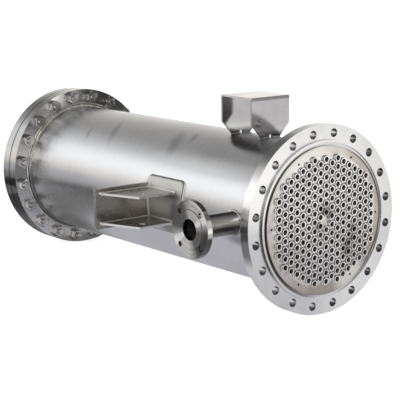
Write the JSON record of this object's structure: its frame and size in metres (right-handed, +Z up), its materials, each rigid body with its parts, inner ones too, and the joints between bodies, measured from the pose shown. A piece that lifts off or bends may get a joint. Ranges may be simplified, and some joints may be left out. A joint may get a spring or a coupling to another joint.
{
  "type": "shell and tube heat exchanger",
  "caption": "Stainless steel shell and tube heat exchanger body with an open tube sheet, a bolted flat cover, side nozzles, side support lugs and a top support.",
  "frame": {"origin": "centre of the near support lug's seat, on the back face of its base plate, level with the vessel's axis, which lies at y = 0.4005 m", "axes": "+X along the vessel towards the open tube sheet, -Y out of the near nozzle, +Z up through the top support"},
  "size_m": [1.736, 1.04, 0.7732],
  "materials": {
    "brushed_shell": "stainless steel, brushed around the axis",
    "turned_flange": "stainless steel, turned on a lathe",
    "tube_sheet": "stainless steel, satin, stained round some bores",
    "nozzle_pipe": "stainless steel pipe, satin",
    "nozzle_flange": "stainless steel, turned on a lathe",
    "lug_plate": "stainless steel plate, mill finish with brushed edges",
    "support_plate": "stainless steel plate, ground",
    "gasket": "dark graphite sheet, dull"
  },
  "bodies": {
    "root": {"shell": "brushed_shell", "front_flange": "turned_flange", "front_tube_sheet": "tube_sheet", "rear_flange": "turned_flange", "rear_gasket": "gasket", "rear_cover": "turned_flange", "near_nozzle_neck": "nozzle_pipe", "near_nozzle_flange": "nozzle_flange", "near_lug_pad": "lug_plate", "near_lug_base_plate": "lug_plate", "near_lug_upper_gusset": "lug_plate", "near_lug_lower_gusset": "lug_plate", "far_nozzle_neck": "nozzle_pipe", "far_nozzle_flange": "nozzle_flange", "far_lug_pad": "lug_plate", "far_lug_base_plate": "lug_plate", "far_lug_upper_gusset": "lug_plate", "far_lug_lower_gusset": "lug_plate", "top_support_front_leg": "support_plate", "top_support_rear_leg": "support_plate", "top_support_plate": "support_plate"}
  },
  "joints": []
}
